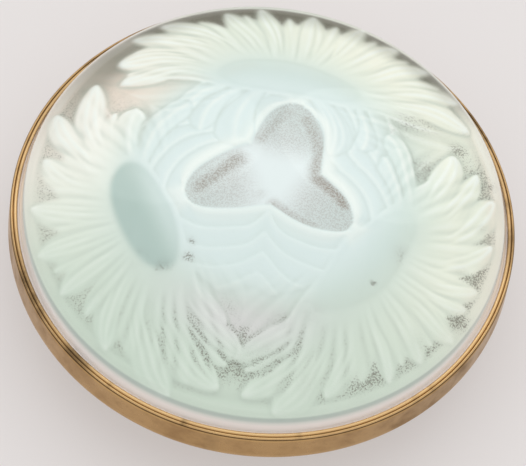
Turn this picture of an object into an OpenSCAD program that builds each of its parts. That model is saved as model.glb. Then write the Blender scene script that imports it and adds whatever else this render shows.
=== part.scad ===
// Sew-on coat button: a moulded glass cabochon held in a brass bezel over a foil, closed by a
// back plate that carries a split-pin thread eye. Millimetres. +Z points out of the face and
// the origin is the centre of the thread eye. The eye's hole runs along Y.

/* [Bezel] */
// Outside diameter of the bezel
button_d = 34; // [32:0.5:36]
// Height of the bezel's band, from its back to the lip's inner edge
band_h = 2.65; // [2.5:0.05:3]
// Thickness of the bezel's sheet
sheet_t = 0.22; // [0.18:0.02:0.24]
// How far the bezel's lower edge is turned in under the back plate
turn_in = 1.6; // [1:0.1:2.5]
// Width of the lip that holds the glass
lip_w = 0.5; // [0.4:0.05:0.6]
// Height of the beaded top of the band
lip_h = 0.24; // [0.2:0.02:0.3]

/* [Glass] */
// Height of the dome above the lip
dome_h = 6.6; // [6.2:0.1:7]
// Radius of the dome's shoulder, where it turns down into the lip
shoulder_r = 3.8; // [3.4:0.1:4.2]
// Thickness of the glass at the crown
crown_t = 0.9; // [0.8:0.05:1.2]
// Height of the glass's edge below the lip
edge_h = 1.4; // [1.2:0.1:1.5]

/* [Flower relief] */
// Depth of the petals pressed into the glass's hollow back
petal_depth = 0.28; // [0.15:0.01:0.4]
// Width of one petal
petal_w = 1.7; // [1:0.1:2.2]
// Angle from one petal to the next round a flower
petal_step = 15; // [11:1:20]
// Direction of the first of the three flowers
flower_turn = 89; // [0:1:119]

/* [Shank] */
// Radius of the thread eye's hole
eye_r = 1.4; // [1.2:0.1:1.8]
// Width of the flat strip that the eye is bent from
strip_w = 1.3; // [1:0.1:1.6]
// Thickness of the strip
strip_t = 0.55; // [0.45:0.05:0.65]
// Reach of each leg's clinched end from the middle
clinch_l = 2.8; // [2:0.1:3.4]
// Diameter of the washer under the back plate
washer_d = 5.4; // [4.5:0.1:7]
// Thickness of the washer
washer_t = 0.45; // [0.3:0.05:0.6]
// Thickness of the back plate
back_t = 0.4; // [0.3:0.05:0.5]

/* [Hidden] */
$fn = 96;

// Play between parts that are pushed together, and the overshoot of a cutting solid
play = 0.05;
over = 1;

// Shank heights, worked up from the eye's centre. The two legs meet in a neck above the ring,
// and leave a notch under it that opens into the eye's hole
leg_gap = 0.03;
notch_w = 0.42;
notch_z = eye_r - 0.3;
neck_z = eye_r + strip_t + play;
washer_z = neck_z + 0.1;
plate_z = washer_z + washer_t;
plate_top = plate_z + back_t;
hole_r = norm([leg_gap + strip_t, strip_w / 2]) + play;
clinch_edge = 0.15;
clinch_bend = 0.35;
solder_w = 0.3;
solder_hollow = 0.27;

// Bezel heights and radii
outer_r = button_d / 2;
wall_r = outer_r - sheet_t;
back_z = plate_z - sheet_t;
lip_z = back_z + band_h;
lip_z0 = lip_z - lip_h;
lip_in = outer_r - lip_w;
corner_r = 0.4;
inner_corner_r = 0.18;

// The lip's top, as distances in from the outside and down from the lip: a bead on the outer
// corner, a groove, and a roll along the inner edge
groove_in = 0.04;
bead_in = 0.13;
bead_down = 0.13;
bead_r = 0.085;
top_groove_in = 0.21;
roll_in = lip_w - 0.13;
roll_down = 0.1;
roll_r = 0.13;
lip_edge_down = 0.12;
lip_root_in = 0.04;
lip_root_down = 0.34;
seat_down = 0.5;

// Glass: the crown is one large arc, tangent to the shoulder's arc
glass_r = wall_r - play;
dome_r = lip_in * 0.99;
dome_foot_down = 0.02;
shoulder_x = dome_r - shoulder_r;
crown_r = (pow(shoulder_x, 2) + pow(dome_h, 2) - pow(shoulder_r, 2)) / (2 * (dome_h - shoulder_r));
crown_z = lip_z + dome_h - crown_r;
tangent_a = atan2(lip_z - crown_z, shoulder_x);
foot_z = lip_z - edge_h;
hollow_h = dome_h - crown_t;
hollow_r = 15.95;
hollow_edge = -0.1;
back_sphere = (pow(hollow_r, 2) + pow(hollow_h - hollow_edge, 2)) / (2 * (hollow_h - hollow_edge));
back_cz = lip_z + hollow_h - back_sphere;

// Flowers, in shares of the lip's radius: a flat oval disc with petals all round it. Each
// petal's tip lies on a wider oval, which is shorter towards the button's middle
disc_y = 0.525;
disc_reach = [0.3, 0.1];
fan_w = 0.66;
fan_out = 0.4;
fan_in = 0.38;
last_petal = 165;
petal_overlap = 0.3;
petal_points = 12;

// Foil and packing
foil_t = 0.1;
foil_gap = 0.04;
flange_in = 0.1;
packing_r = wall_r - 2 * play;
clear_r = clinch_l + 1;
plate_r = wall_r - 0.2;

function arc(x, z, r, a0, a1, n) =
    [for (i = [0:n]) [x + r * cos(a0 + (a1 - a0) * i / n), z + r * sin(a0 + (a1 - a0) * i / n)]];

// Glass section without its hollow
module glass_section()
    polygon(concat(
        [[0, foot_z], [glass_r, foot_z], [glass_r, lip_z - seat_down], [dome_r, lip_z - dome_foot_down]],
        arc(shoulder_x, lip_z, shoulder_r, 0, tangent_a, 10),
        arc(0, crown_z, crown_r, tangent_a, 90, 16)));

// Section of the hollow back, or of anything that lies inside it at a distance
module hollow_section(inset) {
    r = hollow_r - inset;
    sphere_r = back_sphere - inset;
    polygon(concat(
        [[0, foot_z - over], [r, foot_z - over]],
        arc(0, back_cz, sphere_r, acos(r / sphere_r), 90, 18)));
}

// Oval of a given reach along X and Y
module oval(reach, points)
    polygon([for (i = [0:points - 1]) [reach.x * cos(360 * i / points), reach.y * sin(360 * i / points)]]);

// Outline of the petal at angle t from the flower's outward direction
module petal(t) {
    foot = lip_in * [disc_reach.x * sin(t), disc_y + disc_reach.y * cos(t)];
    tip = lip_in * [fan_w * sin(t), disc_y + (cos(t) > 0 ? fan_out : fan_in) * cos(t)];
    translate((foot + tip) / 2)
    rotate(atan2(tip.y - foot.y, tip.x - foot.x))
    oval([norm(tip - foot) / 2 + petal_overlap, petal_w / 2], petal_points);
}

module flower() {
    translate([0, lip_in * disc_y]) oval(lip_in * disc_reach, 2 * petal_points);
    for (t = [-last_petal:petal_step:last_petal]) petal(t);
}

module glass_cabochon()
    color([0.86, 0.93, 0.9, 0.6])
    difference() {
        rotate_extrude() glass_section();
        rotate_extrude() hollow_section(0);
        intersection() {
            translate([0, 0, foot_z])
            linear_extrude(hollow_h + edge_h)
            for (i = [0:2]) rotate(flower_turn - 90 + 120 * i) flower();
            rotate_extrude() hollow_section(-petal_depth);
        }
    }

// Foil pressed into the hollow, with a flange under the glass's foot
module foil_liner()
    color([0.9, 0.91, 0.88])
    rotate_extrude()
    difference() {
        union() {
            intersection() {
                hollow_section(foil_gap);
                translate([0, foot_z - foil_t]) square([hollow_r, edge_h + dome_h]);
            }
            translate([0, foot_z - foil_t]) square([glass_r - flange_in, foil_t]);
        }
        hollow_section(foil_gap + foil_t);
    }

module packing_disc()
    color([0.55, 0.47, 0.36])
    rotate_extrude()
    translate([clear_r, plate_top]) square([packing_r - clear_r, foot_z - foil_t - plate_top]);

// Band section: turned-in edge, rounded corner, plain wall, and the beaded lip over the glass
module bezel_section()
    polygon(concat(
        [[outer_r - turn_in, back_z]],
        arc(outer_r - corner_r, back_z + corner_r, corner_r, 270, 360, 6),
        [[outer_r, lip_z0], [outer_r - groove_in, lip_z0 + groove_in]],
        arc(outer_r - bead_in, lip_z - bead_down, bead_r, 0, 150, 6),
        [[outer_r - top_groove_in, lip_z - roll_down]],
        arc(outer_r - roll_in, lip_z - roll_down, roll_r, 20, 140, 8),
        [[lip_in, lip_z - lip_edge_down], [wall_r - lip_root_in, lip_z - lip_root_down],
         [wall_r, lip_z - seat_down]],
        arc(wall_r - inner_corner_r, back_z + sheet_t + inner_corner_r, inner_corner_r, 0, -90, 4),
        [[outer_r - turn_in, back_z + sheet_t]]));

module bezel_ring()
    color([0.72, 0.56, 0.34])
    rotate_extrude() bezel_section();

module back_plate()
    color([0.7, 0.55, 0.34])
    difference() {
        translate([0, 0, plate_z]) cylinder(r = plate_r, h = back_t);
        translate([0, 0, plate_z - over]) cylinder(r = hole_r, h = back_t + 2 * over);
    }

module shank_washer()
    color([0.73, 0.58, 0.36])
    difference() {
        translate([0, 0, washer_z]) cylinder(d = washer_d, h = washer_t);
        translate([0, 0, washer_z - over]) cylinder(r = hole_r, h = washer_t + 2 * over);
    }

// Solder seam round the washer
module shank_solder()
    color([0.66, 0.65, 0.62])
    rotate_extrude()
    difference() {
        translate([washer_d / 2, plate_z - solder_w]) square(solder_w);
        translate([washer_d / 2 + solder_w, plate_z - solder_w]) circle(r = solder_hollow);
    }

// One leg of the split pin in the XZ plane: up from the ring, through the plate and clinched over
module leg_outline()
    polygon([
        [leg_gap, 0], [leg_gap + strip_t, 0],
        [leg_gap + strip_t, plate_top], [clinch_l, plate_top],
        [clinch_l + clinch_edge, plate_top + clinch_edge],
        [clinch_l + clinch_edge, plate_top + strip_t - clinch_edge], [clinch_l, plate_top + strip_t],
        [leg_gap + clinch_bend, plate_top + strip_t], [leg_gap, plate_top + strip_t - clinch_bend]]);

// Extrudes an XZ outline to the strip's width, centred on the XZ plane
module across_strip(width)
    rotate([90, 0, 0]) linear_extrude(width, center = true) children();

// Flat strip bent into a round eye with its two legs together above it
module shank_eye()
    color([0.76, 0.6, 0.38])
    difference() {
        union() {
            rotate([90, 0, 0]) cylinder(r = eye_r + strip_t, h = strip_w, center = true);
            across_strip(strip_w) leg_outline();
            mirror([1, 0, 0]) across_strip(strip_w) leg_outline();
        }
        rotate([90, 0, 0]) cylinder(r = eye_r, h = strip_w + over, center = true);
        across_strip(strip_w + over)
            polygon([[-leg_gap, neck_z], [-notch_w, notch_z], [notch_w, notch_z], [leg_gap, neck_z]]);
        translate([-leg_gap, -strip_w, notch_z])
            cube([2 * leg_gap, 2 * strip_w, plate_top + strip_t + over - notch_z]);
    }

glass_cabochon();
foil_liner();
packing_disc();
bezel_ring();
back_plate();
shank_washer();
shank_solder();
shank_eye();
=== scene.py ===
"""Looks of a sew-on coat button: a glass cabochon with a moulded flower relief in a brass bezel."""

import math

import bmesh
import bpy
import numpy as np
from mathutils import Matrix, Vector


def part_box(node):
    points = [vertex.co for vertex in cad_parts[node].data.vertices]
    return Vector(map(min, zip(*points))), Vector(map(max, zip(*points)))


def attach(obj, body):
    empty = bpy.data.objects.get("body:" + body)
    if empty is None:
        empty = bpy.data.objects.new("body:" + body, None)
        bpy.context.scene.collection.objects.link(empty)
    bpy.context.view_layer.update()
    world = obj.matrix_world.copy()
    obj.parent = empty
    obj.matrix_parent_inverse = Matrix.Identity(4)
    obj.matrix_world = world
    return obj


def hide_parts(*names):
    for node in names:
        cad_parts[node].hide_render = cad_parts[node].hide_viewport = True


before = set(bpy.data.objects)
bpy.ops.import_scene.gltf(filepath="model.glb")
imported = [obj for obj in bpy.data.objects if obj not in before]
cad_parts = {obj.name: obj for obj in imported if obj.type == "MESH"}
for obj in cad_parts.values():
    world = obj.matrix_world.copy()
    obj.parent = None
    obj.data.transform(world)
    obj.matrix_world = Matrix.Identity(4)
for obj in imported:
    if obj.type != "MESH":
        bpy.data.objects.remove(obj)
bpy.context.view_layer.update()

MM = 0.001
BODY = "root"

# ---------------------------------------------------------------- sizes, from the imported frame
BEZEL_LOW, BEZEL_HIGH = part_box("bezel_ring")
GLASS_LOW, GLASS_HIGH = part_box("glass_cabochon")
EYE_LOW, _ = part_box("shank_eye")
OUTER_R = BEZEL_HIGH[0]
GLASS_R = GLASS_HIGH[0]
LIP_W, LIP_H = 0.5 * MM, 0.24 * MM     # width of the lip, height of its beaded top
LIP_R = OUTER_R - LIP_W                # inner edge of the lip
LIP_Z = BEZEL_HIGH[2] - 0.03 * MM      # level of the lip, just under the crest of its roll
FACE_R = OUTER_R - 0.33 * MM           # the relief's drawing is in shares of this radius
CROWN_Z = GLASS_HIGH[2]
FOOT_Z = GLASS_LOW[2]
FLOOR_Z = EYE_LOW[2]
SHEET_T = 0.22 * MM                    # the bezel's sheet, as in the CAD
HOLLOW_R = 15.95 * MM                  # the hollow in the glass's back, as in the CAD
HOLLOW_EDGE_Z = LIP_Z - 0.1 * MM       # where the hollow's arc meets its rim
CROWN_T = 0.9 * MM                     # thickness of the glass at the crown

# ---------------------------------------------------------------- the relief's drawing
# Each flower: azimuth, then its outer petals as base x, base y, tip x, tip y and half width near
# the tip. The lengths are shares of FACE_R, with the flower's own x to the right and y outwards.
FLOWERS = (
    (89, (
        (.04, .59, .06, .95, .085), (.14, .60, .26, .93, .062), (.20, .58, .42, .87, .062),
        (.26, .57, .56, .78, .060), (.31, .54, .69, .65, .056), (.34, .50, .76, .52, .052),
        (-.04, .60, -.16, .94, .048), (-.10, .59, -.31, .89, .062), (-.16, .60, -.56, .765, .050),
        (-.21, .58, -.67, .665, .056), (-.27, .54, -.69, .52, .064), (-.30, .50, -.66, .41, .056))),
    (209, (
        (-.07, .63, -.13, .93, .062), (.02, .64, .07, .945, .072), (.10, .63, .27, .90, .072),
        (.20, .61, .48, .775, .076), (.28, .58, .66, .645, .054), (.29, .55, .74, .45, .060),
        (.32, .50, .53, .36, .050), (-.15, .62, -.43, .84, .074), (-.21, .60, -.70, .665, .074),
        (-.27, .55, -.74, .48, .076), (-.28, .49, -.66, .35, .064), (-.26, .46, -.52, .37, .050))),
    (329, (
        (-.01, .67, -.02, .95, .072), (.06, .66, .15, .92, .062), (.16, .64, .31, .89, .052),
        (.23, .61, .53, .74, .066), (.30, .57, .72, .62, .066), (.33, .52, .75, .49, .050),
        (.33, .48, .66, .37, .056), (-.05, .67, -.16, .91, .044), (-.08, .66, -.26, .89, .054),
        (-.13, .64, -.46, .80, .060), (-.20, .61, -.64, .675, .056), (-.26, .55, -.69, .545, .052),
        (-.29, .50, -.67, .42, .062))),
)
# Inner petals that lie over the leaves round the trefoil, in the same measures
INNER = {
    89: ((.30, .42, .345, .21, .036), (.14, .42, .225, .145, .072), (-.27, .43, -.40, .22, .050),
         (-.20, .42, -.31, .17, .050), (-.11, .42, -.165, .10, .066)),
    209: ((.24, .46, .46, .16, .050), (.28, .48, .52, .36, .045)),
    329: ((-.26, .46, -.40, .26, .045), (-.30, .48, -.50, .20, .045)),
}
LEAF_W, LEAF_PINCH = .078, .045        # width of the leaves round the trefoil, and the chevrons' rise
# Each flower's oval disc: its middle along x, its half length and how green it is
DISC = {89: (0, .31, .2), 209: (.03, .278, 1.0), 329: (0, .31, .15)}
DISC_Y, DISC_HALF_W, DISC_BOW = .525, .105, .25    # its middle along y, half width and bow
# Lobes of the three-lobed hollow in the middle: azimuth, foot x and y, half width, length and how
# blunt the tip is. Then the stained stretches in the lobe's own axes, as two end points, a width
# and a strength
LOBES = (
    (88.5, .043, 0, .158, .365, 2.1, (
        (-.11, .17, -.03, .32, .045, .60),
        (.05, .30, .125, .16, .040, .70),
        (.13, .17, .13, .06, .030, .75))),
    (205, .020, .022, .150, .375, 2.3, (
        (.02, .32, .09, .14, .042, .80),
        (-.09, .10, -.09, .24, .03, .25))),
    (333, .015, .004, .131, .372, 2.4, (
        (-.095, .15, -.075, .28, .040, 1.0),
        (.125, .08, .090, .26, .030, .60))),
)
HEART = (.025, .01)                    # middle of the three lobes
SEAMS = (269, 31, 147)                 # azimuths where two flowers meet, seen from the middle
# Patches of stippled stain between the petals: plan x and y, reach and strength
STIPPLE = (
    (-.47, -.43, .050, .50), (-.37, -.46, .045, .50), (-.27, -.40, .025, .60), (-.265, -.33, .02, .45),
    (.58, -.21, .050, .35), (.64, -.10, .04, .30), (.25, -.55, .045, .75), (.16, -.61, .050, .65),
    (.09, -.74, .090, .80), (.00, -.78, .060, .75), (.27, -.80, .060, .70), (.45, -.76, .050, .60),
    (.69, -.51, .050, .70), (-.26, -.72, .070, .55), (-.61, -.54, .060, .50), (.87, .04, .035, .90),
    (.82, -.18, .040, .90), (.83, -.38, .045, .90), (.73, .40, .040, .70), (.88, .27, .030, .80),
    (.467, -.35, .010, 1.0), (.480, -.345, .007, .9))
LIP_NICKS = (241, 260, 286, 315, 320)  # azimuths of nicks in the lip
PETAL_W = {89: .98, 209: 1.12, 329: 1.08}    # widens each flower's outer petals
# A narrower petal lies behind each two neighbours: its length as a share of theirs, on the
# flower's left and on its right
BEHIND = {89: (.92, .93), 209: (.93, .74), 329: (.74, .90)}
RELIEF_SEGS, GLASS_SEGS, BEZEL_SEGS = 660, 256, 420
RELIEF_H = 0.3 * MM                    # height of a petal of height 1
GRID = 1003                            # points along the relief's grid, one more than a multiple of 3
RIM_AT = .970                          # where the relief ends and the clear rim starts
RIM_FOOT = .984                        # where the rim's wall meets the level of the lip
FLARE_FROM, FLARE = .6, .66            # the bed flattens outwards from here, by this much


def smooth(a, b, x):
    t = np.clip((x - a) / (b - a), 0, 1)
    return t * t * (3 - 2 * t)


def bell(x, middle, width):
    return np.exp(-((x - middle) / width) ** 2)


def turn_bell(azimuth, middle, width):
    """bell() of an angle in degrees, taken the short way round."""
    return bell((azimuth - middle + 180) % 360 - 180, 0, width)


def flower_axes(x, y, azimuth):
    """Plan coordinates seen with the flower turned up: x to the right, y out towards the rim."""
    a = math.radians(azimuth)
    return x * math.sin(a) - y * math.cos(a), x * math.cos(a) + y * math.sin(a)


def petal(x, y, shape, flutes, bend, wedge, tilt, point=1.2):
    """Height of one petal over the points x, y: a wedge with fine ridges along it, 0 outside.

    bend bows its spine and wedge widens its outer end. tilt raises one side, and point is the
    length of its tip in half widths.
    """
    bx, by, tx, ty, w = shape
    base, tip = np.array([bx, by]), np.array([tx, ty])
    run = tip - base
    length = math.hypot(*run)
    normal = np.array([-run[1], run[0]]) / length
    if normal @ (base + tip) < 0:
        normal = -normal
    middle = (base + tip) / 2 + normal * bend * length
    ts = np.linspace(0, 1, 25)[:, None]
    spine = (1 - ts) ** 2 * base + 2 * ts * (1 - ts) * middle + ts ** 2 * tip
    widest = w * max(1, wedge)
    low, high = spine.min(0) - widest, spine.max(0) + widest
    near = (x > low[0]) & (x < high[0]) & (y > low[1]) & (y < high[1])
    points = np.stack([x[near], y[near]], 1)
    best = np.full(len(points), 1e9)
    along = np.zeros(len(points))
    side = np.zeros(len(points))
    for i in range(len(spine) - 1):
        a, d = spine[i], spine[i + 1] - spine[i]
        k = np.clip(((points - a) @ d) / (d @ d), 0, 1)
        off = points - a - k[:, None] * d
        dist = np.hypot(off[:, 0], off[:, 1])
        closer = dist < best
        best[closer] = dist[closer]
        along[closer] = ((i + k) / (len(spine) - 1))[closer]
        side[closer] = np.sign(d[0] * off[:, 1] - d[1] * off[:, 0])[closer]
    tip_from = 1 - point * w / length
    foot = .66                             # width at the foot, as a share of w
    width = w * (foot + (wedge - foot) * smooth(-.1, .95, along))
    into_tip = np.clip((along - tip_from) / (1 - tip_from), 0, 1)
    width = width * np.clip(1 - into_tip ** 2, 0, 1) ** .6 + 1e-6
    u = np.clip(best * side / width, -1, 1)
    body = (1 - u ** 2) ** .8
    across = (u / .84 + 1) / 2             # 0 to 1 over the fluted part
    flute = np.abs(np.sin(np.pi * flutes * across)) ** .75 * smooth(0, .25, along)
    rise = (.55 + .45 * smooth(0, .5, along)) * (1 - .2 * smooth(tip_from - .1, 1, along))
    height = np.zeros_like(x)
    height[near] = np.where(np.abs(u) < 1, body * (.95 - .26 * flute + tilt * u) * rise, 0)
    return height


def petal_bend(shape):
    """How far a petal bows: more, the more it leans to the side."""
    return .22 * abs(shape[2] - shape[0]) / math.hypot(shape[2] - shape[0], shape[3] - shape[1])


def petals_behind(petals, reach):
    """A narrower petal between each two neighbours, shortened to reach, a share for each side."""
    order = sorted(petals, key=lambda p: math.atan2(p[2], p[3] - .5))
    for a, b in zip(order, order[1:]):
        bx, by, tx, ty, w = ((p + q) / 2 for p, q in zip(a, b))
        share = reach[0] if tx < 0 else reach[1]
        yield bx, by, bx + (tx - bx) * share, by + (ty - by) * share, .72 * w


def lobe_edge(half_width, length, bluntness, reach):
    """Half width of a lobe at a distance from its foot."""
    return half_width * np.sqrt(np.clip(1 - (np.clip(reach, 0, None) / length) ** bluntness, 0, 1))


def trefoil_distance(x, y):
    """Distance from the trefoil's outline, measured outside it."""
    best = np.full(x.shape, 9.0)
    for azimuth, foot_x, foot_y, half_width, length, bluntness, _ in LOBES:
        lx, ly = flower_axes(x - foot_x, y - foot_y, azimuth)
        for t in np.linspace(0, 1, 60):
            reach = length * (1 - (1 - t) ** 2)
            edge = lobe_edge(half_width, length, bluntness, reach)
            best = np.minimum(best, (np.abs(lx) - edge) ** 2 + (ly - reach) ** 2)
    return np.sqrt(best)


def from_segment(x, y, x0, y0, x1, y1):
    """Distance from a straight stretch between two points."""
    dx, dy = x1 - x0, y1 - y0
    t = np.clip(((x - x0) * dx + (y - y0) * dy) / (dx * dx + dy * dy), 0, 1)
    return np.hypot(x - x0 - t * dx, y - y0 - t * dy)


def blur(field, width):
    """Gaussian blur of a square field, with its width as a share of FACE_R."""
    k = np.fft.fftfreq(GRID, 2 / (GRID - 1))
    wave = np.exp(-2 * (np.pi * width) ** 2 * (k[:, None] ** 2 + k[None, :GRID // 2 + 1] ** 2))
    return np.fft.irfft2(np.fft.rfft2(field) * wave, field.shape)


def waver(x, y, seed):
    """A small smooth unevenness, as in a mould cut by hand."""
    chance = np.random.default_rng(seed)
    total = np.zeros_like(x)
    for _ in range(9):
        kx, ky, phase = chance.uniform(-26, 26), chance.uniform(-26, 26), chance.uniform(0, 6.28)
        total += np.sin(kx * x + ky * y + phase)
    return total * .0022


def streaks(angle, reach, seed):
    """Fine ridges that fan out from a flower's disc, from -1 to 1."""
    chance = np.random.default_rng(seed)
    total = np.zeros_like(angle)
    for rate in (19, 31, 47, 64):
        total += np.sin(rate * angle + chance.uniform(2, 6) * reach + chance.uniform(0, 6.28))
    return np.clip(total / 2.4, -1, 1)


def leaf_height(X, Y, seam):
    """The inner leaves: bands that follow the trefoil's outline and meet in chevrons."""
    axis = np.linspace(-1, 1, GRID)[::3]
    coarse = np.meshgrid(axis, axis, indexing="ij")
    away = sample(trefoil_distance(*coarse), X, Y)
    leaf = 1 - (away + LEAF_PINCH * seam) / LEAF_W % 1
    vee = Y + .567 - .5 * np.abs(X + .03)      # above the lowest chevron
    return (.40 + .24 * leaf ** 1.3) * smooth(.36, .30, away) * smooth(-.004, .012, vee)


def lay_petals(height, cover, x, y, azimuth, petals, chance):
    """The two fields with one flower's petals added: those behind, the outer and the inner ones."""
    behind_h, behind_point = .72, 3.6
    for shape in petals_behind(petals, BEHIND[azimuth]):
        v = petal(x, y, shape, 2, petal_bend(shape), 1.0, 0, behind_point)
        height = np.maximum(height, behind_h * v)
        cover = np.maximum(cover, v)
    for shape in sorted(petals, key=lambda p: -abs(p[2])):
        flutes = 3 if shape[4] < .064 else 4
        bend = petal_bend(shape)
        shape = (*shape[:4], shape[4] * PETAL_W[azimuth])
        tilt = .3 * chance.uniform(-1, 1)
        point = chance.uniform(1.8, 3.8)
        v = petal(x, y, shape, flutes, bend, 1.12, tilt, point)
        lift = .14 * chance.random()
        height = np.maximum(height, np.where(v > 0, v * .85 + lift * smooth(0, .3, v), 0))
        cover = np.maximum(cover, v)
    for shape in INNER[azimuth]:
        flutes = 4 if shape[4] > .07 else 2
        v = petal(x, y, shape, flutes, .2, 1.3, -.2 * math.copysign(1, shape[0]))
        height = np.where(v > .1, .25 + .75 * v, height)
        cover = np.maximum(cover, v)
    return height, cover


def trefoil_fields(X, Y):
    """How deep inside the trefoil a point is, -1 far outside, and the stain on its floor."""
    depth = np.full_like(X, -1.0)
    stain = np.zeros_like(X)
    for azimuth, foot_x, foot_y, half_width, length, bluntness, stretches in LOBES:
        x, y = flower_axes(X - foot_x, Y - foot_y, azimuth)
        edge = lobe_edge(half_width, length, bluntness, y)
        depth = np.maximum(depth, np.where(y > -.02, np.minimum(edge - np.abs(x), length - y), -1))
        stain = np.maximum(stain, .44 * smooth(.04, .2, y) * bell(x, 0, 1.4 * half_width))
        for *stretch, width, strength in stretches:
            stain = np.maximum(stain, strength * bell(from_segment(x, y, *stretch), 0, width))
    return depth, stain


def stipple(X, Y):
    """The patches of stippled stain, as one field."""
    dots = np.zeros_like(X)
    for x, y, reach, strength in STIPPLE:
        dots = np.maximum(dots, strength * bell(np.hypot(X - x, Y - y), 0, reach))
    return dots


def relief_fields():
    """Height of the relief, and masks for its colours, on a square grid from -1 to 1."""
    axis = np.linspace(-1, 1, GRID)
    X, Y = np.meshgrid(axis, axis, indexing="ij")
    r = np.hypot(X, Y)
    X, Y = X + waver(X, Y, 3), Y + waver(X, Y, 8)
    turned = np.degrees(np.arctan2(Y - HEART[1], X - HEART[0]))
    seam = sum(turn_bell(turned, azimuth, 9) for azimuth in SEAMS)
    height = leaf_height(X, Y, seam)
    cover = np.zeros_like(X)               # how much of a point a petal covers
    disc = np.zeros_like(X)
    disc_in = np.zeros_like(X)             # the part of a disc nearest to the middle
    fill = np.zeros_like(X)                # ground under the petals
    streak = np.zeros_like(X)
    clear_of_disc = np.full_like(X, 1.0)
    chance = np.random.default_rng(4)
    for azimuth, petals in FLOWERS:
        x, y = flower_axes(X, Y, azimuth)
        # distance outside a rounded bar of half length .29 and half width .09 over the disc
        outside = np.hypot(np.clip(np.abs(x) - .2, 0, None), y - .52) - .09
        clear_of_disc = np.minimum(clear_of_disc, outside)
        # this flower's third of the plan, with a hair's overlap
        mine = np.abs(x) < y * math.tan(math.radians(60)) + .003
        fan = np.arctan2(x, y - .4)
        streak = np.where(mine, streaks(fan, r, azimuth) * smooth(0, .1, outside), streak)
        fill = np.maximum(fill, smooth(.44, .10, outside) * mine * (y > .4 + .1 * np.abs(x)))
        height, cover = lay_petals(height, cover, x, y, azimuth, petals, chance)
        disc_x, disc_half, tint = DISC[azimuth]
        bowed = y - DISC_Y + DISC_BOW * x * x
        oval = 1 - ((x - disc_x) / disc_half) ** 2 - (bowed / DISC_HALF_W) ** 2
        dome = np.sqrt(np.clip(oval, 0, 1))
        height = np.where(oval > 0, np.maximum(height * (1 - dome) ** 2, .45 + .4 * dome), height)
        disc = np.maximum(disc, smooth(0, .25, oval) * tint)
        disc_in = np.where(oval > 0, smooth(.54, .43, y + DISC_BOW * x * x), disc_in)
    trefoil, void_stain = trefoil_fields(X, Y)
    # the ground: a bed round the middle, one by the rim, and the fill under the petals
    bed = .3 * smooth(.66, .45, r) + .3 * smooth(.90, .94, r)
    height = np.maximum(height, np.maximum(bed, .62 * fill))
    # the near half looks flatter in the photo
    height = height * (.72 + .28 * smooth(-.5, .1, Y))
    height = height + .085 * streak * smooth(.4, .5, r) * smooth(.95, .85, r)
    # a rolled edge round the trefoil, which itself is sunk to the bed
    height = height + .2 * bell(trefoil, -.022, .014)
    height = height * smooth(.016, -.010, trefoil)
    height = blur(height, .004)
    # the gaps between the petals, where stain collects
    gaps = 1 - smooth(0, .3, cover)
    gaps = gaps * (1 - smooth(0, .1, disc)) * smooth(.46, .6, r) * smooth(.95, .90, r)
    gaps = gaps * smooth(.10, .24, clear_of_disc) * (1 - .8 * seam)
    return {
        "height": height,
        "ridge": np.clip((height - blur(height, .022)) / .16, -1, 1),
        "fine": np.clip((height - blur(height, .008)) / .055, -1, 1),
        "dots": stipple(X, Y) * (1 - .75 * smooth(.1, .4, cover)),
        "gaps": blur(gaps, .006),
        "cover": blur(smooth(0, .3, cover), .008),
        "disc": blur(disc, .008),
        "disc_in": blur(disc_in, .02),
        "void": smooth(-.004, .006, trefoil),
        "void_stain": void_stain * (trefoil > 0),
        # the rolled edge round the trefoil, where a highlight is painted
        "rim": bell(trefoil, -.034, .026),
    }


def sample(field, x, y):
    """Bilinear reading of a square field at points x, y from -1 to 1."""
    last = len(field) - 1
    i = np.clip((x + 1) / 2 * last, 0, last - .001)
    j = np.clip((y + 1) / 2 * last, 0, last - .001)
    i0, j0 = i.astype(int), j.astype(int)
    a, b = i - i0, j - j0
    return (field[i0, j0] * (1 - a) * (1 - b) + field[i0 + 1, j0] * a * (1 - b)
            + field[i0, j0 + 1] * (1 - a) * b + field[i0 + 1, j0 + 1] * a * b)


# ---------------------------------------------------------------- mesh helpers
def make_object(name, verts, faces, values=None, smooth_shade=True):
    mesh = bpy.data.meshes.new(name)
    mesh.from_pydata([tuple(v) for v in verts], [], faces)
    mesh.validate()
    shell = bmesh.new()
    shell.from_mesh(mesh)
    bmesh.ops.recalc_face_normals(shell, faces=shell.faces)
    shell.to_mesh(mesh)
    shell.free()
    for key, data in (values or {}).items():
        layer = mesh.attributes.new(key, "FLOAT", "POINT")
        layer.data.foreach_set("value", np.asarray(data, np.float32))
    if smooth_shade:
        mesh.polygons.foreach_set("use_smooth", [True] * len(mesh.polygons))
    mesh.update()
    obj = bpy.data.objects.new(name, mesh)
    bpy.context.scene.collection.objects.link(obj)
    return obj


def ring_faces(rings, segs, close_ring=True):
    """Quads between rings of segs points, the last ring joined to the first if close_ring."""
    last = rings if close_ring else rings - 1
    out = []
    for i in range(last):
        a, b = i * segs, ((i + 1) % rings) * segs
        for j in range(segs):
            k = (j + 1) % segs
            out.append((a + j, a + k, b + k, b + j))
    return out


def lathe(name, section, segs, values, wobble):
    """A closed section of (radius, height) points turned round Z.

    values[key](degrees, i) is a number kept at every point, and wobble(angle, i) moves the point.
    """
    angles = np.arange(segs) * 2 * math.pi / segs
    verts = []
    data = {key: [] for key in values}
    for i, (r, z) in enumerate(section):
        for a in angles:
            dr, dz = wobble(a, i)
            verts.append(((r + dr) * math.cos(a), (r + dr) * math.sin(a), z + dz))
        for key, value in values.items():
            data[key] += [value(math.degrees(a), i) for a in angles]
    return make_object(name, verts, ring_faces(len(section), segs), data)


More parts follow.
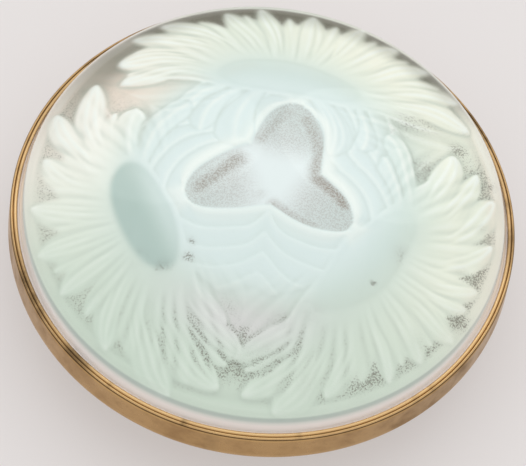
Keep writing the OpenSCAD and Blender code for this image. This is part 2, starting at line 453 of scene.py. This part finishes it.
def solid_of_turn(name, section, segs):
    """Like lathe, for a section that starts and ends on the axis: the two ends become points."""
    inner = section[1:-1]
    angles = np.arange(segs) * 2 * math.pi / segs
    verts = [(r * math.cos(a), r * math.sin(a), z) for r, z in inner for a in angles]
    faces = ring_faces(len(inner), segs, close_ring=False)
    top, bottom = len(verts), len(verts) + 1
    verts += [(0, 0, section[0][1]), (0, 0, section[-1][1])]
    base = (len(inner) - 1) * segs
    for j in range(segs):
        k = (j + 1) % segs
        faces.append((top, k, j))
        faces.append((bottom, base + j, base + k))
    return make_object(name, verts, faces)


def arc(x, z, r, a0, a1, n):
    steps = [math.radians(a0 + (a1 - a0) * i / n) for i in range(n + 1)]
    return [(x + r * math.cos(a), z + r * math.sin(a)) for a in steps]


# ---------------------------------------------------------------- material helpers
def srgb(r, g, b):
    def line(c):
        c /= 255
        return c / 12.92 if c <= .04045 else ((c + .055) / 1.055) ** 2.4
    return (line(r), line(g), line(b), 1)


class Nodes:
    """A material's node tree, with one short call for each kind of node used here."""

    def __init__(self, name):
        self.material = bpy.data.materials.new(name)
        self.material.use_nodes = True
        self.tree = self.material.node_tree
        self.tree.nodes.clear()
        self.out = self.add("ShaderNodeOutputMaterial")

    def add(self, kind, **settings):
        node = self.tree.nodes.new(kind)
        for key, value in settings.items():
            setattr(node, key, value)
        return node

    def feed(self, socket, value):
        if isinstance(value, bpy.types.NodeSocket):
            self.tree.links.new(value, socket)
        else:
            socket.default_value = value

    def attribute(self, key):
        return self.add("ShaderNodeAttribute", attribute_name=key).outputs["Fac"]

    def place(self, scale=(1, 1, 1)):
        node = self.add("ShaderNodeMapping")
        self.feed(node.inputs["Vector"], self.add("ShaderNodeTexCoord").outputs["Object"])
        node.inputs["Scale"].default_value = scale
        return node.outputs[0]

    def noise(self, scale, detail=4, rough=.55, at=None):
        node = self.add("ShaderNodeTexNoise")
        self.feed(node.inputs["Vector"], at or self.place())
        node.inputs["Scale"].default_value = scale
        node.inputs["Detail"].default_value = detail
        node.inputs["Roughness"].default_value = rough
        return node.outputs["Fac"]

    def step(self, value, low, high):
        """0 at low, 1 at high, with soft ends."""
        node = self.add("ShaderNodeMapRange", interpolation_type="SMOOTHSTEP")
        self.feed(node.inputs["Value"], value)
        node.inputs["From Min"].default_value = low
        node.inputs["From Max"].default_value = high
        return node.outputs[0]

    def math(self, how, a, b):
        node = self.add("ShaderNodeMath", operation=how)
        self.feed(node.inputs[0], a)
        self.feed(node.inputs[1], b)
        return node.outputs[0]

    def mix(self, factor, a, b, blend="MIX"):
        node = self.add("ShaderNodeMix", data_type="RGBA", blend_type=blend)
        self.feed(node.inputs[0], factor)
        self.feed(node.inputs[6], a)
        self.feed(node.inputs[7], b)
        return node.outputs[2]

    def bump(self, height, strength, distance):
        node = self.add("ShaderNodeBump")
        self.feed(node.inputs["Height"], height)
        node.inputs["Strength"].default_value = strength
        node.inputs["Distance"].default_value = distance
        return node.outputs[0]

    def surface(self, shader):
        self.tree.links.new(shader, self.out.inputs["Surface"])
        return self.material

    def principled(self, **values):
        node = self.add("ShaderNodeBsdfPrincipled")
        for key, value in values.items():
            self.feed(node.inputs[key.replace("_", " ")], value)
        return node.outputs[0]


# ---------------------------------------------------------------- materials
PEARL_GREEN = srgb(220, 234, 221)
AQUA = srgb(226, 240, 240)
CREAM_AND_LIGHT = srgb(252, 252, 236)
SHADE_GREEN = srgb(206, 222, 209)
SHADE_OLIVE = srgb(104, 102, 84)
PAINTED_LIGHT_WHITE = srgb(255, 255, 249)
BED = srgb(206, 213, 196)
LILAC = srgb(226, 222, 224)
VOID_WHITE = srgb(238, 246, 248)
BLUSH = srgb(240, 226, 212)
DISC_GREEN = srgb(182, 204, 198)
CREASE_SHADE = srgb(180, 193, 182)
HIGHLIGHT_WHITE = srgb(250, 255, 250)
STAIN = srgb(104, 97, 84)
HAZE = srgb(150, 140, 130)
EDGE_LIGHT_PINK = srgb(255, 247, 244)
EDGE_BLUE = srgb(162, 174, 176)
GROOVE_BROWN = srgb(70, 48, 26)
DARK_BROWN = srgb(78, 62, 42)


def relief_material():
    """Frosted, opalescent relief with a grey stain stippled into its hollows."""
    n = Nodes("frosted_relief")
    colour = n.mix(n.attribute("blue"), PEARL_GREEN, AQUA)
    # cream tint, partly painted light: lighter towards the far side
    colour = n.mix(n.attribute("cream_and_far_light"), colour, CREAM_AND_LIGHT)
    colour = n.mix(n.attribute("bed"), colour, BED)
    # painted light: a brighter patch on the outer petals at the left
    colour = n.mix(n.attribute("left_light"), colour, PAINTED_LIGHT_WHITE)
    colour = n.mix(n.attribute("shade"), colour, SHADE_GREEN)
    colour = n.mix(n.attribute("blush"), colour, BLUSH)
    colour = n.mix(n.attribute("lilac"), colour, LILAC)
    colour = n.mix(n.attribute("disc"), colour, DISC_GREEN)
    # painted shade in the relief's creases and painted highlights on its crests
    colour = n.mix(n.attribute("crease_shade"), colour, CREASE_SHADE)
    colour = n.mix(n.attribute("crest_highlight"), colour, HIGHLIGHT_WHITE)
    colour = n.mix(n.attribute("void"), colour, VOID_WHITE)
    # painted shade: dark olive near the rim on the far side, mostly between the petal tips
    colour = n.mix(n.attribute("far_rim_shade"), colour, SHADE_OLIVE)
    stain_mask = n.attribute("stain")
    grain = n.noise(9000, 2, .6)
    clump = n.noise(900, 3, .6)
    amount = n.math("ADD", n.math("MULTIPLY", stain_mask, .22), n.math("MULTIPLY", clump, .2))
    speck = n.step(n.math("ADD", grain, amount), .66, .86)
    stain = n.math("MULTIPLY", speck, n.step(stain_mask, .02, .5))
    colour = n.mix(n.math("MULTIPLY", stain_mask, .26), colour, STAIN)
    colour = n.mix(n.math("MULTIPLY", stain, .7), colour, STAIN)
    dust = n.math("ADD", .66, n.math("MULTIPLY", n.step(grain, .42, .62), .55))
    haze = n.math("MULTIPLY", n.attribute("haze"), dust)
    colour = n.mix(n.math("MULTIPLY", haze, .92), colour, HAZE)
    # painted highlight on the rolled edge round the trefoil
    colour = n.mix(n.attribute("rim"), colour, HIGHLIGHT_WHITE)
    # painted light: a near-white band over the clear edge past the relief, where light comes through the
    # glass
    colour = n.mix(n.attribute("band"), colour, EDGE_LIGHT_PINK)
    colour = n.mix(n.attribute("line"), colour, EDGE_BLUE)
    normal = n.bump(n.noise(2600, 4, .6), .10, .00002)
    return n.surface(n.principled(
        Base_Color=colour, Roughness=n.math("ADD", .38, n.math("MULTIPLY", stain, .25)),
        Normal=normal, Specular_IOR_Level=.3))


def clear_glass():
    """Clear polished glass, which lets light through to the relief and mirrors the room a little."""
    n = Nodes("clear_glass")
    smear = n.noise(90, 4, .6)
    gloss = n.add("ShaderNodeBsdfGlossy")
    n.feed(gloss.inputs["Color"], (1, 1, 1, 1))
    n.feed(gloss.inputs["Roughness"], n.math("ADD", .03, n.math("MULTIPLY", smear, .05)))
    clear = n.add("ShaderNodeBsdfTransparent")
    clear.inputs["Color"].default_value = (.985, .995, .99, 1)
    fresnel = n.add("ShaderNodeFresnel")
    fresnel.inputs["IOR"].default_value = 1.5
    path = n.add("ShaderNodeLightPath")
    lets_in = n.math("MAXIMUM", path.outputs["Is Shadow Ray"], path.outputs["Is Diffuse Ray"])
    mix = n.add("ShaderNodeMixShader")
    n.feed(mix.inputs[0], n.math("MULTIPLY", fresnel.outputs[0], n.math("SUBTRACT", 1.0, lets_in)))
    n.tree.links.new(clear.outputs[0], mix.inputs[1])
    n.tree.links.new(gloss.outputs[0], mix.inputs[2])
    return n.surface(mix.outputs[0])


def clear_inside():
    """The glass's own back, where it lies on the relief: nothing there mirrors the room."""
    n = Nodes("clear_glass_back")
    clear = n.add("ShaderNodeBsdfTransparent")
    n.feed(clear.inputs["Color"], n.mix(n.noise(400, 2), (1, 1, 1, 1), (.99, 1, .995, 1)))
    return n.surface(clear.outputs[0])


def tarnished(name, base, dull, roughness, bright=None):
    """Metal or card with duller patches and fine scratches.

    With a bright colour it is the bezel's: rubbed bright on its edges with a painted highlight along
    the lip's roll, dark brown in its grooves, darker brown over the lip's far half and dirty in
    places, by the masks wear, groove and dirt.
    """
    n = Nodes(name)
    patches = n.step(n.noise(260, 5, .62), .42, .68)
    fine = n.noise(2400, 4, .6)
    colour = n.mix(n.math("MULTIPLY", patches, .6), base, dull)
    colour = n.mix(n.math("MULTIPLY", n.step(fine, .55, .75), .35), colour, dull)
    rough = n.math("ADD", roughness, n.math("MULTIPLY", patches, .16))
    if bright:
        # rubbed edges, and a painted highlight along the lip's roll
        colour = n.mix(n.attribute("wear_and_highlight"), colour, bright)
        groove = n.attribute("groove")
        colour = n.mix(groove, colour, GROOVE_BROWN)
        cloudy = n.math("ADD", .45, n.math("MULTIPLY", patches, .55))
        # darker brown over the lip's far half, and tarnish in patches and nicks
        dirt_and_far_dark = n.math("MULTIPLY", n.attribute("dirt_and_far_dark"), cloudy)
        colour = n.mix(dirt_and_far_dark, colour, DARK_BROWN)
        rough = n.math("ADD", rough, n.math("MULTIPLY", dirt_and_far_dark, .3))
        rough = n.math("ADD", rough, n.math("MULTIPLY", groove, .25))
    scratches = n.noise(900, 3, .6, at=n.place((1, 1, 9)))
    normal = n.bump(n.math("ADD", scratches, n.math("MULTIPLY", fine, .5)), .25, .00003)
    return n.surface(n.principled(
        Base_Color=colour, Metallic=1.0, Roughness=rough, Normal=normal))


# ---------------------------------------------------------------- pieces
def hollow_z(r):
    """Height of the glass's hollow back at radius r, the same arc as the CAD solid's."""
    top = CROWN_Z - CROWN_T
    rise = top - HOLLOW_EDGE_Z
    sphere = (HOLLOW_R ** 2 + rise ** 2) / (2 * rise)
    return top - sphere + np.sqrt(sphere ** 2 - np.minimum(r, sphere) ** 2)


def relief_attributes(fields, x, y, share):
    """The masks that relief_material() mixes its colours by, one number per point.

    x and y are plan coordinates and share is the radius, all in shares of FACE_R.
    """
    at = {key: sample(field, x, y) for key, field in fields.items() if key != "height"}
    azimuth = np.degrees(np.arctan2(y, x))
    # the clear edge past the relief, painted near white as light through the glass's edge
    band = smooth(RIM_AT, RIM_AT + .006, share)
    inside = 1 - band
    solid = 1 - at["void"]
    bare = 1 - at["cover"]
    # lit: how strongly the trefoil's rolled edge takes its painted highlight, by azimuth
    lit = .3 + .7 * np.maximum(turn_bell(azimuth, 15, 50), turn_bell(azimuth, 170, 40))
    # the relief's fine height detail, which paints shade into its creases and highlights onto its crests
    detail = .42 * at["ridge"] + .36 * at["fine"]
    detail = detail * (1 - .34 * smooth(.62, .5, share) - .2 * smooth(0, -.4, y))
    high = .5 + .5 * smooth(-.5, .1, y)
    low_join = turn_bell(azimuth, 270, 40) * smooth(.6, .66, share) * smooth(.93, .8, share)
    join = low_join * np.clip(-at["ridge"] * 2 + .3, 0, 1)
    gap_stain = at["gaps"] * (.38 + .4 * smooth(.6, .95, y) + .45 * turn_bell(azimuth, 345, 45))
    stain = np.maximum(np.maximum(gap_stain, .5 * join), at["dots"]) * solid
    # painted shade near the rim, on the far side and at the upper left
    far_rim_shade = bare + .4 * at["cover"] * smooth(.84, .94, share)
    far_rim_shade = far_rim_shade * smooth(.76, .88, share) * smooth(RIM_AT, RIM_AT - .015, share)
    far_rim_shade = far_rim_shade * np.maximum(smooth(.5, .75, y), .75 * turn_bell(azimuth, 138, 24))
    # the cream is partly painted light: it grows towards the far side, +y
    cream_and_far_light = .25 + .75 * smooth(-.6, .6, y) * (1 - .7 * turn_bell(azimuth, 106, 24))
    cream_and_far_light = cream_and_far_light + .6 * turn_bell(azimuth, 345, 50)
    left_blush = turn_bell(azimuth, 150, 32) * smooth(.5, .75, share) * (.2 + .8 * bare)
    right_blush = turn_bell(azimuth, 10, 35) * smooth(.86, .93, share) * .6
    shade = np.maximum(.7 * smooth(0, -.7, y), .3 * turn_bell(azimuth, 5, 40))
    bed = bare * smooth(.5, .7, share) * inside * (.25 + .45 * turn_bell(azimuth, 225, 55))
    return {
        "void": at["void"] * smooth(.34, .1, share) * .8,
        "haze": at["void_stain"] * at["void"],
        "rim": at["rim"] * lit * .6,
        "blue": smooth(.86, .4, share),
        "cream_and_far_light": np.clip(smooth(.52, .84, share) * cream_and_far_light, 0, 1),
        "blush": left_blush + right_blush,
        "lilac": turn_bell(azimuth, 268, 26) * bell(share, .62, .09) * .8,
        # painted light on the outer petals at the left
        "left_light": turn_bell(azimuth, 162, 32) * smooth(.55, .75, share) * .8,
        "far_rim_shade": far_rim_shade,
        "shade": shade * smooth(.4, .6, share),
        "disc": at["disc"] * (1 - .75 * at["disc_in"]),
        "crease_shade": np.clip(-detail, 0, 1) * .66 * solid,
        "crest_highlight": np.clip(detail, 0, 1) * high * solid,
        "stain": np.clip(stain, 0, 1) * inside,
        "band": band,
        "line": bell(share, RIM_AT, .003) * .45,
        "bed": bed,
    }


def relief_z(r):
    """Height of the relief's bed at radius r: the hollow's arc, flattened towards the rim."""
    share = r / FACE_R
    bed = hollow_z(r) + FLARE * FACE_R * np.clip(share - FLARE_FROM, 0, None) ** 2
    ledge = LIP_Z - .14 * MM - np.clip(r - LIP_R, 0, None)
    wall = smooth(RIM_AT - .004, RIM_FOOT, share)
    return bed * (1 - wall) + ledge * wall


def build_relief():
    edge = (RIM_AT - .01) * FACE_R
    outer = GLASS_R - .05 * MM
    thick = .04 * MM
    face_rings, rim_rings = 123, 18
    radii = np.concatenate([
        np.linspace(0, edge, face_rings + 1)[1:], np.linspace(edge, outer, rim_rings + 1)[1:]])
    angles = np.arange(RELIEF_SEGS) * 2 * math.pi / RELIEF_SEGS
    R, A = np.meshgrid(radii, angles, indexing="ij")
    x, y, share = R * np.cos(A) / FACE_R, R * np.sin(A) / FACE_R, R / FACE_R
    fields = relief_fields()
    height = sample(fields["height"], x, y) * smooth(RIM_AT - .004, .945, share)
    Z = relief_z(R) + RELIEF_H * height
    top = np.stack([R * np.cos(A), R * np.sin(A), Z], -1).reshape(-1, 3)
    under = []
    under_rings = [(outer, relief_z(outer))]
    for share_under in (.9, .84, .7, .5, .3, .15):
        r = share_under * FACE_R
        under_rings.append((r, relief_z(r if share_under < .85 else outer)))
    for r, z in under_rings:
        under += [(r * math.cos(a), r * math.sin(a), z - thick) for a in angles]
    tips = [[0, 0, Z[0].mean()], [0, 0, relief_z(0) - thick]]
    verts = np.concatenate([top, np.array(under), tips])
    count = len(radii) + len(under_rings)
    faces = ring_faces(count, RELIEF_SEGS, close_ring=False)
    first, last = len(verts) - 2, len(verts) - 1
    base = (count - 1) * RELIEF_SEGS
    for j in range(RELIEF_SEGS):
        k = (j + 1) % RELIEF_SEGS
        faces += [(first, k, j), (last, base + j, base + k)]
    masks = {}
    for key, mask in relief_attributes(fields, x, y, share).items():
        flat = mask.reshape(-1)
        middle = flat[:RELIEF_SEGS].mean()
        masks[key] = np.concatenate([flat, np.zeros(len(under)), [middle, 0]])
    obj = make_object("relief_layer", verts, faces, masks)
    obj.data.materials.append(relief_material())
    return obj


def build_glass():
    dome_h = CROWN_Z - LIP_Z
    dome_r = LIP_R * .99
    shoulder_r = 3.8 * MM
    sx = dome_r - shoulder_r
    crown_r = (sx ** 2 + dome_h ** 2 - shoulder_r ** 2) / (2 * (dome_h - shoulder_r))
    crown_z = CROWN_Z - crown_r
    tangent = math.degrees(math.atan2(LIP_Z - crown_z, sx))
    crown = arc(0, crown_z, crown_r, 90, tangent, 60)
    shoulder = arc(sx, LIP_Z, shoulder_r, tangent, 11, 24)[1:]
    flange = [(LIP_R * .992, LIP_Z + .33 * MM), (LIP_R * .995, LIP_Z + .12 * MM), (LIP_R * .999, LIP_Z)]
    outside = crown + shoulder + flange + [(GLASS_R, LIP_Z - .5 * MM), (GLASS_R, FOOT_Z)]
    hollow = [(HOLLOW_R, FOOT_Z), (HOLLOW_R, LIP_Z - .35 * MM)]
    over = RELIEF_H * 1.15                 # the hollow clears the tallest petal
    hollow += [(r, float(relief_z(r)) + over) for r in np.linspace(RIM_AT * FACE_R * .99, 0, 50)]
    obj = solid_of_turn("glass_dome", outside + hollow, GLASS_SEGS)
    obj.data.materials.append(clear_glass())
    obj.data.materials.append(clear_inside())
    tip = len(obj.data.vertices) - 1       # the hollow's own middle
    first_inside = (len(outside) - 1) * GLASS_SEGS
    for polygon in obj.data.polygons:
        corners = len(polygon.vertices)
        highest = max(polygon.vertices)
        if (corners == 4 and highest >= first_inside) or (corners == 3 and highest == tip):
            polygon.material_index = 1
    return obj


def build_bezel():
    lip_z0 = LIP_Z - LIP_H
    back = BEZEL_LOW[2]
    wall_r = OUTER_R - SHEET_T
    turned = OUTER_R - 1.6 * MM            # inner edge of the turned-in back
    corner_r = .4 * MM
    inner_corner_r = .18 * MM
    corner_x, corner_z = OUTER_R - corner_r, back + corner_r
    bead_r, roll_r = .085 * MM, .13 * MM
    roll_z = LIP_Z - .10 * MM
    section, wear_and_highlight, groove = [], [], []

    def put(points, w=0.0, g=0.0):
        for p in points:
            section.append(p)
            wear_and_highlight.append(w)
            groove.append(g)

    put([(turned, back)], .1)
    put([(turned + (corner_x - turned) * i / 4, back) for i in range(1, 4)])
    put(arc(corner_x, corner_z, corner_r, 270, 360, 10), .25)
    put([(OUTER_R, corner_z + (lip_z0 - corner_z) * i / 8) for i in range(1, 8)])
    put([(OUTER_R, lip_z0 - .02 * MM)], .3)
    put([(OUTER_R - .035 * MM, lip_z0 + .01 * MM), (OUTER_R - .05 * MM, lip_z0 + .03 * MM)], 0, .9)
    put(arc(OUTER_R - .13 * MM, LIP_Z - .13 * MM, bead_r, -20, 145, 10), .6)
    put([(OUTER_R - .205 * MM, roll_z), (OUTER_R - .225 * MM, roll_z)], 0, .9)
    # the roll's top: rubbed bright, with a painted highlight along it
    put(arc(LIP_R + roll_r, roll_z, roll_r, 20, 140, 14), 1)
    put([(LIP_R, LIP_Z - .12 * MM), (wall_r - .04 * MM, LIP_Z - .34 * MM), (wall_r, LIP_Z - .5 * MM)], 0, .6)
    put([(wall_r, back + .6 * MM)])
    put(arc(wall_r - inner_corner_r, back + SHEET_T + inner_corner_r, inner_corner_r, 0, -90, 4))
    put([(turned, back + SHEET_T)])
    lip_from = next(i for i, point in enumerate(section) if point[1] > lip_z0)
    uneven_to = len(section) - 12          # the roll's inner edge is true again from here
    lip_to = len(section) - 8              # the inside of the wall starts here
    rng = np.random.default_rng(11)
    waves = [(k, rng.normal() / k, rng.random() * 6.28) for k in range(3, 40)]

    def wobble(a, i):
        """The lip's unevenness: how far a point moves outwards and upwards."""
        if not lip_from <= i < uneven_to:
            return 0, 0
        s = sum(amp * math.sin(k * a + ph) for k, amp, ph in waves)
        return .012 * MM * s, .015 * MM * s

    def dirt_and_far_dark(azimuth, i):
        """Darker brown over the lip's far half; brown tarnish on the lip in a patch and in nicks, and
        faintly on the wall.
        """
        if not lip_from <= i < lip_to:
            return (.35 * turn_bell(azimuth, 205, 14) + .3 * turn_bell(azimuth, 267, 1.6)
                    + .4 * turn_bell(azimuth, 325, 22))
        # darker over the lip's far half
        far = .8 * max(0.0, min(1.0, .5 + math.sin(math.radians(azimuth)) * 1.4))
        patch = max(turn_bell(azimuth, 207, 15), .7 * turn_bell(azimuth, 230, 6))
        return max(far, patch, *(.6 * turn_bell(azimuth, nick, .5) for nick in LIP_NICKS))

    masks = {"wear_and_highlight": lambda azimuth, i: wear_and_highlight[i], "groove": lambda azimuth, i: groove[i], "dirt_and_far_dark": dirt_and_far_dark}
    obj = lathe("bezel_rim", section, BEZEL_SEGS, masks, wobble)
    obj.data.materials.append(tarnished(
        "gilt_brass_bezel", srgb(192, 155, 104), srgb(148, 112, 70), .26, bright=srgb(232, 196, 142)))
    return obj


relief_piece = build_relief()
glass_piece = build_glass()
bezel_piece = build_bezel()
for piece, node, slot in (
        (glass_piece, "glass_cabochon", "glass"), (bezel_piece, "bezel_ring", "bezel_brass")):
    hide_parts(node)
for piece in (relief_piece, glass_piece, bezel_piece):
    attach(piece, BODY)

NODE_LOOKS = {
    "foil_liner": tarnished("foil", srgb(215, 215, 208), srgb(180, 180, 172), .2),
    "packing_disc": tarnished("card", srgb(140, 120, 92), srgb(120, 100, 75), .8),
    "back_plate": tarnished("back_brass", srgb(190, 148, 92), srgb(140, 104, 62), .34),
    "shank_washer": tarnished("washer_brass", srgb(198, 156, 98), srgb(150, 112, 66), .3),
    "shank_solder": tarnished("solder", srgb(160, 158, 150), srgb(120, 118, 112), .45),
    "shank_eye": tarnished("strip_brass", srgb(205, 164, 104), srgb(150, 112, 66), .28),
}
for node, material in NODE_LOOKS.items():
    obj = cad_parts[node]
    obj.data.materials.clear()
    obj.data.materials.append(material)


# ---------------------------------------------------------------- floor, lights and camera
FLOOR_HALF = 5                         # half the floor's side, in metres
FLOOR_GLOW = .46                       # the paper is lit from below, as in a light tent
FLOOR_DIM = (.45, .45, .45, 1)         # so it reflects less of the lamps


def build_floor():
    corners = ((-1, -1), (1, -1), (1, 1), (-1, 1))
    verts = [(x * FLOOR_HALF, y * FLOOR_HALF, FLOOR_Z) for x, y in corners]
    floor = make_object("floor", verts, [(0, 1, 2, 3)], smooth_shade=False)
    n = Nodes("floor_paper")
    colour = n.mix(n.math("MULTIPLY", n.noise(40, 3), .04), srgb(240, 236, 235), srgb(234, 229, 228))
    floor.data.materials.append(n.surface(n.principled(
        Base_Color=n.mix(1.0, colour, FLOOR_DIM, "MULTIPLY"), Roughness=.75,
        Emission_Color=colour, Emission_Strength=FLOOR_GLOW)))


def add_light(name, azimuth, elevation, distance, size, power):
    """A round soft light. Its azimuth is measured from the camera's side, clockwise from above."""
    light = bpy.data.lights.new(name, "AREA")
    light.shape = "DISK"
    light.size = size
    light.energy = power
    obj = bpy.data.objects.new(name, light)
    bpy.context.scene.collection.objects.link(obj)
    a, e = math.radians(azimuth), math.radians(elevation)
    way = Vector((-math.sin(a) * math.cos(e), -math.cos(a) * math.cos(e), math.sin(e)))
    obj.location = Vector((0, 0, LIP_Z)) + way * distance
    obj.rotation_euler = way.to_track_quat("Z", "Y").to_euler()


def build_world():
    world = bpy.data.worlds.new("studio")
    bpy.context.scene.world = world
    world.use_nodes = True
    tree = world.node_tree
    back = tree.nodes["Background"]
    coords = tree.nodes.new("ShaderNodeTexCoord")
    split = tree.nodes.new("ShaderNodeSeparateXYZ")
    ramp = tree.nodes.new("ShaderNodeValToRGB")
    tree.links.new(coords.outputs["Generated"], split.inputs[0])
    tree.links.new(split.outputs["Z"], ramp.inputs[0])
    ramp.color_ramp.elements[0].position = 0.0
    ramp.color_ramp.elements[0].color = (.62, .61, .61, 1)
    ramp.color_ramp.elements[1].position = .75
    ramp.color_ramp.elements[1].color = (1, .985, .975, 1)
    tree.links.new(ramp.outputs[0], back.inputs["Color"])
    back.inputs["Strength"].default_value = .9


def build_camera():
    elevation, roll = math.radians(58.06), math.radians(9.5)    # fitted to the photo's ellipses
    distance = 25 * FACE_R
    shift_right, shift_up = .0006, .0268   # of the image's middle, in shares of its width
    face_share = .4726236                  # the face's radius as a share of the image's width
    scale = face_share / FACE_R            # image widths per metre at the lip's centre
    data = bpy.data.cameras.new("camera")
    data.sensor_width = 36
    data.lens = 36 * distance * scale
    data.clip_start, data.clip_end = .01, 20
    cam = bpy.data.objects.new("camera", data)
    bpy.context.scene.collection.objects.link(cam)
    right0 = Vector((1, 0, 0))
    up0 = Vector((0, math.sin(elevation), math.cos(elevation)))
    right = right0 * math.cos(roll) + up0 * math.sin(roll)
    up = up0 * math.cos(roll) - right0 * math.sin(roll)
    away = right.cross(up)
    aim = Vector((0, 0, LIP_Z)) - (right * shift_right + up * shift_up) / scale
    place = aim + away * distance
    cam.matrix_world = Matrix((
        (right.x, up.x, away.x, place.x), (right.y, up.y, away.y, place.y),
        (right.z, up.z, away.z, place.z), (0, 0, 0, 1)))
    bpy.context.scene.camera = cam


build_floor()
build_world()
add_light("back_right", 205, 42, .55, .36, .25)
add_light("back_left", 150, 46, .55, .36, .22)
add_light("overhead", 170, 78, .5, .5, .12)
build_camera()
bpy.context.scene.view_settings.view_transform = "Standard"
